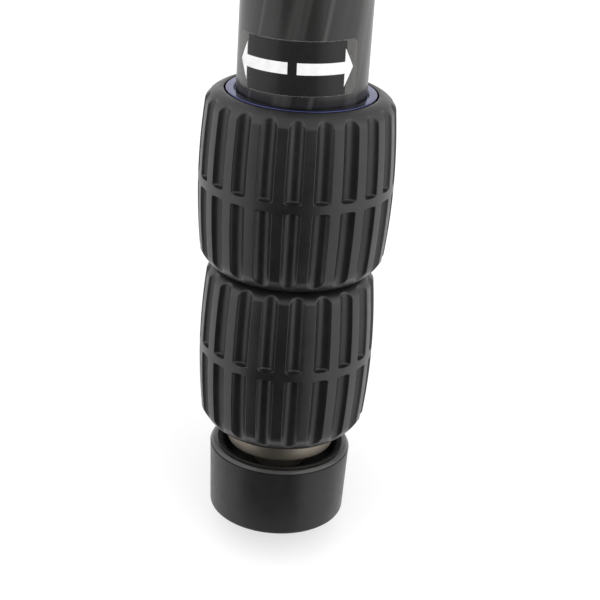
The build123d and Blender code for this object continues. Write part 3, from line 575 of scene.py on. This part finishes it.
class Grip:
    """A rubber grip over its nut, in a frame that has Z up from its sole."""

    CROWN = 0.95 * MM  # the middle stands out by this much from where the ribs end
    SOLE_ROUND = 3.5 * MM
    SOLE_PULL = (1.1 * MM, 0.36)  # in from the ribs, and a share of the rounding's height
    LIP = 0.45 * MM
    LIP_EDGE = (0.1 * MM, 0.15 * MM)
    RIB_ROUND = 0.3 * MM  # the edge where a rib's top meets the shoulder
    DOME = Vector((0.45 * MM, 0.62 * MM))  # how far the shoulder stands out from a straight one
    # places across half a flute's pitch, from its middle, where the surface turns
    ACROSS = tuple(
        v * MM for v in (0.0, 0.35, 0.7, 1.0, 1.25, 1.45, 1.6, 1.7, 1.76, 1.82, 1.9, 2.0, 2.2)
    )
    # rows of points under the band's middle, where the surface turns
    BAND_ROWS = tuple(
        -v * MM
        for v in (1.8, 1.6, 1.5, 1.4, 1.3, 1.22, 1.15, 1.1, 1.06, 1.02, 0.99, 0.97, 0.95, 0.85)
    )

    def __init__(self, node, nut, matrix, flutes, turn):
        self.flutes = flutes
        self.turn = radians(turn)
        low, self.height, self.outer = local_span(node, matrix)
        self.bore, self.sole = ring_radii(node, matrix, low)
        self.lip, self.rim = ring_radii(node, matrix, self.height)
        self.nut_low, self.nut_top = full_heights(nut, matrix)
        self.nut_radius = local_span(nut, matrix)[2]
        self.band = self.height / 2 + BAND_RISE
        self.rib_top = self.nut_top

    def barrel(self, z):
        """Radius of the crowned barrel at a height."""
        reach = self.rib_top - self.band
        return self.outer - self.CROWN * ((z - self.band) / reach) ** 2

    def profile(self):
        """Outline of the grip without its flutes, from the sole's edge to the lip."""
        low = self.SOLE_ROUND
        edge = self.barrel(low)
        pull = (edge - self.SOLE_PULL[0], self.SOLE_PULL[1] * low)
        points = bend((self.sole, 0.0), pull, (edge, low), 12)
        rows = [*self.BAND_ROWS, 0.0, *(-v for v in reversed(self.BAND_ROWS))]
        near = [self.band + v for v in rows]
        count = round((near[0] - low) / MM * GRIP_ROWS_PER_MM)
        heights = even(low, near[0], count)[1:-1] + near
        start = self.rib_top - 5 * self.RIB_ROUND
        count = round((start - near[-1]) / MM * GRIP_ROWS_PER_MM)
        heights += even(near[-1], start, count)[1:]
        heights += [start + self.RIB_ROUND * i for i in range(1, 4)]
        points += [(self.barrel(z), z) for z in heights]
        return points + self.shoulder()

    def shoulder(self):
        """From the rounded top edge of the ribs, over a shallow dome, to the lip."""
        first = Vector((self.barrel(self.rib_top), self.rib_top))
        last = Vector((self.rim, self.height))
        pull = (first + last) / 2 + self.DOME
        start = first + (pull - first).normalized() * self.RIB_ROUND
        before = Vector((self.barrel(self.rib_top - self.RIB_ROUND), self.rib_top - self.RIB_ROUND))
        return bend(before, first, start, 4) + bend(start, pull, last, 14)[1:]

    def flute(self, across, z):
        """Radius of a flute's surface, at a distance from its middle and a height."""
        away = (z - self.band) / (self.rib_top - self.band)
        depth = FLUTE_DEPTH - (FLUTE_DEPTH - FLUTE_END_DEPTH) * away * away
        bend_radius = (FLUTE_HALF**2 + depth**2) / (2 * depth)
        across = min(abs(across), FLUTE_REACH * bend_radius)
        hollow = sqrt(bend_radius**2 - across**2) - (bend_radius - depth)
        near = min(1.0, max(0.0, 1 - (abs(z - self.band) - BAND_HALF) / BAND_RAMP))
        rise = (1 - sqrt(1 - near * near)) * (FLUTE_DEPTH + FLUTE_EDGE)
        return self.barrel(z) - hollow + rise

    def flute_shade(self, radius, z):
        """How much painted shade a point in a flute gets, from 0 on the ribs to 1 at the bottom."""
        if not self.SOLE_ROUND < z < self.rib_top:
            return 0.0
        share = (self.barrel(z) - radius) / FLUTE_DEPTH
        return smooth_step((share - SHADE_START) / SHADE_RAMP)

    def mesh(self, name):
        pitch = 2 * pi / self.flutes
        half = pitch * self.outer / 2
        across = [a for a in self.ACROSS if a < half] + [half]
        across = [-a for a in reversed(across[1:-1])] + across
        angles = [self.turn + k * pitch for k in range(self.flutes)]
        columns = [(start + a / self.outer, a) for start in angles for a in across]
        bm = bmesh.new()
        rings = []
        flute_shade = []
        for radius, z in self.profile():
            ring = []
            for angle, a in columns:
                r = soft_min(radius, self.flute(a, z), FLUTE_EDGE)
                # painted shade for this point, read by the rubber's material
                flute_shade.append(self.flute_shade(r, z))
                ring.append(bm.verts.new((r * cos(angle), r * sin(angle), z)))
            rings.append(ring)
        inside = [
            (self.lip + self.LIP_EDGE[0], self.height - self.LIP_EDGE[1]),
            (self.lip, self.height - self.LIP),
            (self.lip, self.nut_top),
            (self.nut_radius, self.nut_top),
            (self.nut_radius, self.nut_low),
            (self.bore, self.nut_low),
            (self.bore, 0.0),
        ]
        for radius, z in inside:
            rings.append(
                [bm.verts.new((radius * cos(a), radius * sin(a), z)) for a, _ in columns]
            )
        bridge(bm, rings + rings[:1])
        mesh = finished(name, bm, 50.0)
        hollow = mesh.attributes.new(FLUTE_SHADE_ATTRIBUTE, "FLOAT", "POINT")
        hollow.data.foreach_set("value", flute_shade + [0.0] * (len(mesh.vertices) - len(flute_shade)))
        return mesh


def add_grip(name, node, nut, matrix, body, flutes, turn):
    mesh = Grip(node, nut, matrix, flutes, turn).mesh(name)
    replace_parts(placed(name, mesh, matrix, body, "rubber"), node)


# Feet


def foot_pad_profile(rim, flat, height):
    """The rubber foot's section: from its bore under the sole, up over the rim, into the dish."""
    seam = height - SEAM_DROP
    crest = (rim - RIM_CREST, height)
    bend_end = (DISH_RADIUS, height - DISH_BEND)
    corner = (DISH_RADIUS - DISH_EDGE, DISH_FLOOR + DISH_EDGE)
    points = [(FOOT_BORE, 0.0)]
    points += arc((flat, SOLE_EDGE), SOLE_EDGE, -90, -4, 5)
    points += [(rim - inwards * MM, seam + up * MM) for inwards, up in SEAM]
    points += bend(points[-1], (rim - RIM_PULL, height), crest, 10)[1:]
    points += bend(crest, (DISH_RADIUS + DISH_PULL, height), bend_end, 18)[1:]
    points.append((DISH_RADIUS, DISH_FLOOR + DISH_EDGE))
    points += arc(corner, DISH_EDGE, -10, -90, 4)
    points.append((FOOT_BORE, DISH_FLOOR))
    return points


def add_foot(number):
    matrix = LEG_FRAMES[number]
    node = f"leg_{number}_foot_pad"
    _, height, rim = local_span(node, matrix)
    flat = ring_radii(node, matrix, 0.0)[1]
    mesh = lathe(f"{node}_rubber", foot_pad_profile(rim, flat, height))
    shaded_dish, polished = 1, 2  # places of the two materials added below
    for face in mesh.polygons:
        # the dish inside this radius gets the painted-shade rubber
        if face.center.z > height / 2 and hypot(face.center.x, face.center.y) < SHADED_DISH_RADIUS:
            face.material_index = shaded_dish
        elif face.center.z > height - BEAD_DEPTH:
            face.material_index = polished
    made = placed(f"{node}_rubber", mesh, matrix, f"leg_{number}_foot", "foot_rubber")
    mesh.materials.append(MATERIALS["shaded_dish_rubber"])
    mesh.materials.append(MATERIALS["bead_rubber"])
    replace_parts(made, node)


def add_spike(number):
    """The spike, with the collar above it and the hollow plug that holds it in the lower tube."""
    matrix = LEG_FRAMES[number]
    node = f"leg_{number}_foot_spike"
    low, high, collar = local_span(node, matrix)
    tube = f"leg_{number}_lower_tube"
    seat, _, shank = local_span(tube, matrix)
    plug = ring_radii(tube, matrix, seat)[0]
    bevel_top, top = full_heights(node, matrix)
    bottom = bevel_top - COLLAR_EDGE - COLLAR_DROP
    edge = collar - COLLAR_EDGE
    profile = [(0.0, low), (SPIKE_RADIUS, low + SPIKE_POINT), (SPIKE_RADIUS, bottom)]
    profile += arc((edge, bottom + COLLAR_EDGE), COLLAR_EDGE, -90, 0, 4)
    profile += arc((edge, top - COLLAR_EDGE), COLLAR_EDGE, 0, 90, 4)
    profile += [(shank, top), (shank, seat), (plug, seat), (plug, high)]
    profile += [(plug - PLUG_WALL, high), (plug - PLUG_WALL, seat), (0.0, seat)]
    mesh = lathe(f"{node}_turned", profile)
    made = placed(f"{node}_turned", mesh, matrix, f"leg_{number}_lower_section", "collar_metal")
    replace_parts(made, node)


# Tubes and ferrules


def add_tube(node, matrix, body, name):
    """A carbon tube with rounded outer edges, drawn smoother than its CAD solid."""
    low, high, outer = local_span(node, matrix)
    inner = ring_radii(node, matrix, low)[0]
    edge = outer - TUBE_EDGE
    profile = arc((edge, low + TUBE_EDGE), TUBE_EDGE, -90, 0, 4)
    profile += arc((edge, high - TUBE_EDGE), TUBE_EDGE, 0, 90, 4)
    profile += [(inner, high), (inner, low)]
    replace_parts(piece(name, lathe(name, profile), matrix, body, "carbon"), node)


def add_ferrule(node, grip, matrix, body):
    """The anodised ferrule, whose rounded rim is level with its grip's lip."""
    low, high, outer = local_span(node, matrix)
    seat_radius = ring_radii(node, matrix, high)[0]
    bore = ring_radii(node, matrix, low)[0]
    high = local_span(grip, matrix)[1]
    edge = high - FERRULE_EDGE
    inner = seat_radius + FERRULE_GAP
    groove = high - FERRULE_GROOVE
    seat = low + FERRULE_SEAT
    profile = [(bore, low), (outer, low), (outer, edge)]
    profile += arc((outer - FERRULE_EDGE, edge), FERRULE_EDGE, 10, 90, 7)
    profile += [(inner + FERRULE_EDGE, high), (inner, edge), (inner, groove)]
    profile += [(seat_radius, groove), (seat_radius, seat), (bore, seat)]
    name = f"{node}_turned"
    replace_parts(piece(name, lathe(name, profile), matrix, body, "blue_metal"), node)


# Label


def ribbon(name, path, halves, radius, thickness):
    """A thin closed slab bent round Z, along a path of (angle, height) with its half widths."""
    bm = bmesh.new()
    flat = [Vector((angle * radius, height)) for angle, height in path]
    rings = []
    for i, (point, half) in enumerate(zip(flat, halves)):
        ahead = next((p for p in flat[i + 1 :] if (p - point).length > 1e-9), point)
        behind = next((p for p in reversed(flat[:i]) if (p - point).length > 1e-9), point)
        along = (ahead - behind).normalized()
        side = Vector((-along.y, along.x)) * half
        near, far = point - side, point + side
        ring = []
        for place, lift in ((near, 0), (far, 0), (far, 1), (near, 1)):
            r = radius + lift * thickness
            angle = place.x / radius
            ring.append(bm.verts.new((r * cos(angle), r * sin(angle), place.y)))
        rings.append(ring)
    return capped(name, bm, rings, 20.0)


def rounded_box(half_angle, half_height, corner, radius):
    """Angles from the middle and half widths of a box with rounded corners, on a tube."""
    places, halves = [], []
    for i in range(6):
        a = pi / 2 * i / 5
        places.append(-half_angle + corner * (1 - cos(a)) / radius)
        halves.append(half_height - corner * (1 - sin(a)))
    middle = even(places[-1], -places[-1], 24)[1:-1]
    places = places + middle + [-p for p in reversed(places)]
    halves = halves + [half_height] * len(middle) + list(reversed(halves))
    return places, halves


def add_label(number):
    """The lock's label: a black print with two arrows, on a clear film."""
    matrix = LEG_FRAMES[number]
    body = f"leg_{number}"
    radius = local_span(f"leg_{number}_upper_tube", matrix)[2] + LABEL_LIFT
    centre = local_span(f"leg_{number}_upper_grip", matrix)[1] + LABEL_CENTRE

    def add(part, angles, halves, layer, material):
        name = f"leg_{number}_label_{part}"
        path = [(LABEL_MIDDLE + a, centre + a * radius * sin(LABEL_TILT)) for a in angles]
        inside = radius + layer * LABEL_THICKNESS
        slab = ribbon(name, path, halves, inside, LABEL_THICKNESS)
        return piece(name, slab, matrix, body, None, material)

    angles, halves = rounded_box(FILM_HALF, LABEL_HEIGHT / 2 + FILM_MARGIN, FILM_CORNER, radius)
    add("film", angles, halves, 0, "clear_film")
    angles, halves = rounded_box(ARROW_NECK, LABEL_HEIGHT / 2, PRINT_CORNER, radius)
    add("print", [a + PRINT_SHIFT for a in angles], halves, 1, "label_black")
    for side, word in ((-1, "left"), (1, "right")):
        shaft = even(side * ARROW_INNER, side * ARROW_NECK, 12)
        head = even(side * ARROW_NECK, side * ARROW_TIP, 4)
        halves = [ARROW_SHAFT / 2] * len(shaft)
        halves += [ARROW_HEAD / 2 * (1 - i / 4) + ARROW_POINT for i in range(len(head))]
        add(f"arrow_{word}", shaft + head, halves, 2, "label_white")


# Head screw


def thread_mesh(name, low, high):
    """The screw's end, with its helical thread between two heights and a bevelled tip."""
    bm = bmesh.new()
    rings = []
    for z in even(low, high, round((high - low) / THREAD_PITCH * THREAD_ROWS)):
        bevel = max(0.0, THREAD_DEPTH - (high - z))
        ring = []
        for i in range(THREAD_STEPS):
            a = 2 * pi * i / THREAD_STEPS
            turn = (z / THREAD_PITCH - i / THREAD_STEPS) % 1.0
            ridge = min(1.0, max(0.0, 1.25 - 2.5 * abs(turn - 0.5)))  # flat for a fifth of a turn
            r = min(SCREW_RADIUS - THREAD_DEPTH * (1 - ridge), SCREW_RADIUS - bevel)
            ring.append(bm.verts.new((r * cos(a), r * sin(a), z)))
        rings.append(ring)
    return capped(name, bm, rings, 40.0)


def add_head_screw():
    """The camera screw: a head under the plate, a collar in it and a thread above it."""
    node = "head_screw"
    low, tip, head = local_span(node, HUB_FRAME)
    shoulder = full_heights(node, HUB_FRAME)[1]
    plate_top = local_span("head_plate", HUB_FRAME)[1]
    collar = ring_radii(node, HUB_FRAME, shoulder)[0]
    profile = [(0.0, low), (head, low), (head, shoulder), (collar, shoulder), (collar, plate_top)]
    mesh = lathe("head_screw_root", profile + [(0.0, plate_top)])
    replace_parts(piece("head_screw_root", mesh, HUB_FRAME, "column", "steel"), node)
    thread = thread_mesh("head_screw_thread", plate_top - THREAD_PITCH, tip)
    piece("head_screw_thread", thread, HUB_FRAME, "column", "steel")


# Legs and hub


for number in LEGS:
    leg = f"leg_{number}"
    matrix = LEG_FRAMES[number]
    for lock, flutes, turn in (("upper", 22, -0.9), ("lower", 20, 6.3)):
        node = f"{leg}_{lock}_grip"
        sole = Matrix.Translation((0, 0, local_span(node, matrix)[0]))
        add_grip(
            f"{node}_rubber", node, f"{leg}_{lock}_nut", matrix @ sole, f"{leg}_{lock}_lock",
            flutes, turn,
        )
    add_foot(number)
    add_spike(number)
    sections = {"upper": leg, "middle": f"{leg}_middle_section", "lower": f"{leg}_lower_section"}
    for part, body in sections.items():
        add_tube(f"{leg}_{part}_tube", matrix, body, f"{leg}_{part}_carbon")
    for part, lock in (("upper", "upper"), ("middle", "lower")):
        add_ferrule(f"{leg}_{part}_ferrule", f"{leg}_{lock}_grip", matrix, sections[part])
    add_label(number)

lock_top = local_span("column_lock_grip", HUB_FRAME)[1]
add_grip(
    "column_lock_grip_rubber",
    "column_lock_grip",
    "column_lock_nut",
    HUB_FRAME @ Matrix.Translation((0, 0, lock_top)) @ Matrix.Rotation(pi, 4, "X"),
    "column_lock",
    24,
    0.0,
)
add_tube("column_tube", HUB_FRAME, "column", "column_carbon")
add_head_screw()

for subpart in frame["record"]["subparts"]:
    shown = frame["nodes"][subpart["node"]]
    shown.data.materials.clear()
    shown.data.materials.append(MATERIALS[subpart["material_slot"]])


# Floor, surroundings and camera


def floor_material():
    """A pale floor that looks white, with its shadows kept."""
    shader = Shader("floor").set(
        Base_Color=(FLOOR_COLOUR,) * 3, Roughness=0.7, Specular_IOR_Level=0.0
    )
    ray = shader.node("ShaderNodeLightPath")
    seen = ray.outputs["Is Camera Ray"]
    for kind in ("Is Glossy Ray", "Is Transmission Ray"):
        either = shader.node("ShaderNodeMath", operation="MAXIMUM")
        shader.link(seen, either.inputs[0])
        shader.link(ray.outputs[kind], either.inputs[1])
        seen = either.outputs[0]
    glow = shader.node("ShaderNodeMath", operation="MULTIPLY")
    shader.link(seen, glow.inputs[0])
    glow.inputs[1].default_value = FLOOR_GLOW
    shader.set(Emission_Color=(1.0, 1.0, 1.0))
    shader.link(glow.outputs[0], shader.surface.inputs["Emission Strength"])
    return shader.material


def add_floor():
    bpy.ops.mesh.primitive_plane_add(size=FLOOR_SIZE, location=(0, 0, 0))
    floor = bpy.context.object
    floor.name = "floor"
    floor.data.materials.append(floor_material())


def card_material():
    """Matt black card with a faint mottle."""
    shader = Shader("card").set(Specular_IOR_Level=0.1, Roughness=0.9)
    mottle = shader.noise(shader.coordinates(), 30.0)
    shader.colour(shader.ramp(mottle, ((0.4, (0.012,) * 3), (0.6, (0.02,) * 3))))
    return shader.material


def outward(angle):
    """A level direction at an angle from the side of leg 1 that faces the camera."""
    out = LEG_FRAMES[1].col[0].to_3d()
    facing = Vector((out.x, out.y, 0)).normalized()
    return Matrix.Rotation(angle, 3, "Z") @ facing


def add_card():
    """A dark card, bent up round the front of the foot, which only shiny surfaces can see."""
    foot = LEG_FRAMES[1].translation
    bm = bmesh.new()
    edges = []
    for radius, height in ((CARD_NEAR, MM), (CARD_FAR, CARD_HEIGHT)):
        middle = Vector((foot.x, foot.y, height))
        places = [outward(a) * radius + middle for a in even(CARD_LEFT, CARD_RIGHT, CARD_STEPS)]
        edges.append([bm.verts.new(place) for place in places])
    low, high = edges
    for i in range(CARD_STEPS):
        bm.faces.new((low[i], low[i + 1], high[i + 1], high[i]))
    card = bpy.data.objects.new("card", finished("card", bm))
    bpy.context.scene.collection.objects.link(card)
    card.visible_camera = False
    card.visible_diffuse = False
    card.visible_transmission = False
    card.visible_shadow = False
    card.data.materials.append(card_material())


def add_lamp(name, angle, power):
    """A soft lamp aimed at the photographed grips."""
    aim = LEG_FRAMES[1] @ Vector((0, 0, LAMP_AIM))
    away = outward(angle) * cos(LAMP_RISE) + Vector((0, 0, sin(LAMP_RISE)))
    place = aim + away * LAMP_DISTANCE
    data = bpy.data.lights.new(f"lamp_{name}", "AREA")
    data.shape = "SQUARE"
    data.size = LAMP_SIZE
    data.energy = power
    lamp = bpy.data.objects.new(f"lamp_{name}", data)
    bpy.context.scene.collection.objects.link(lamp)
    turn = (place - aim).to_track_quat("Z", "Y").to_matrix().to_4x4()
    lamp.matrix_world = Matrix.Translation(place) @ turn
    lamp.visible_camera = False


def add_world():
    """Even white surroundings, in which a colour looks as it is written."""
    world = bpy.data.worlds.new("studio")
    bpy.context.scene.world = world
    world.use_nodes = True
    background = world.node_tree.nodes["Background"]
    background.inputs["Color"].default_value = (1, 1, 1, 1)
    background.inputs["Strength"].default_value = 1.0


def add_camera():
    """The photographed view of leg 1's foot."""
    place = LEG_FRAMES[1] @ Vector((CAMERA_BACK, 0, CAMERA_UP))
    matrix = LEG_FRAMES[1].to_3x3()
    out, right, up = matrix.col[0], matrix.col[1], matrix.col[2]
    away = -out
    ahead = away * cos(CAMERA_YAW) + right * sin(CAMERA_YAW)
    ahead = ahead * cos(CAMERA_PITCH) - up * sin(CAMERA_PITCH)
    level = right * cos(CAMERA_YAW) - away * sin(CAMERA_YAW)
    top = level.cross(ahead)
    side = level * cos(CAMERA_ROLL) + top * sin(CAMERA_ROLL)
    top = top * cos(CAMERA_ROLL) - level * sin(CAMERA_ROLL)
    data = bpy.data.cameras.new("camera")
    data.sensor_width = SENSOR
    data.lens = FOCAL_PIXELS / PICTURE_WIDTH * SENSOR
    data.clip_start = CLIP_START
    camera = bpy.data.objects.new("camera", data)
    bpy.context.scene.collection.objects.link(camera)
    turn = Matrix((side, top, -ahead)).transposed().to_4x4()
    camera.matrix_world = Matrix.Translation(place) @ turn
    bpy.context.scene.camera = camera


add_floor()
add_card()
for name, angle, power in LAMPS:
    add_lamp(name, angle, power)
add_world()
add_camera()

scene = bpy.context.scene
scene.view_settings.view_transform = "Standard"
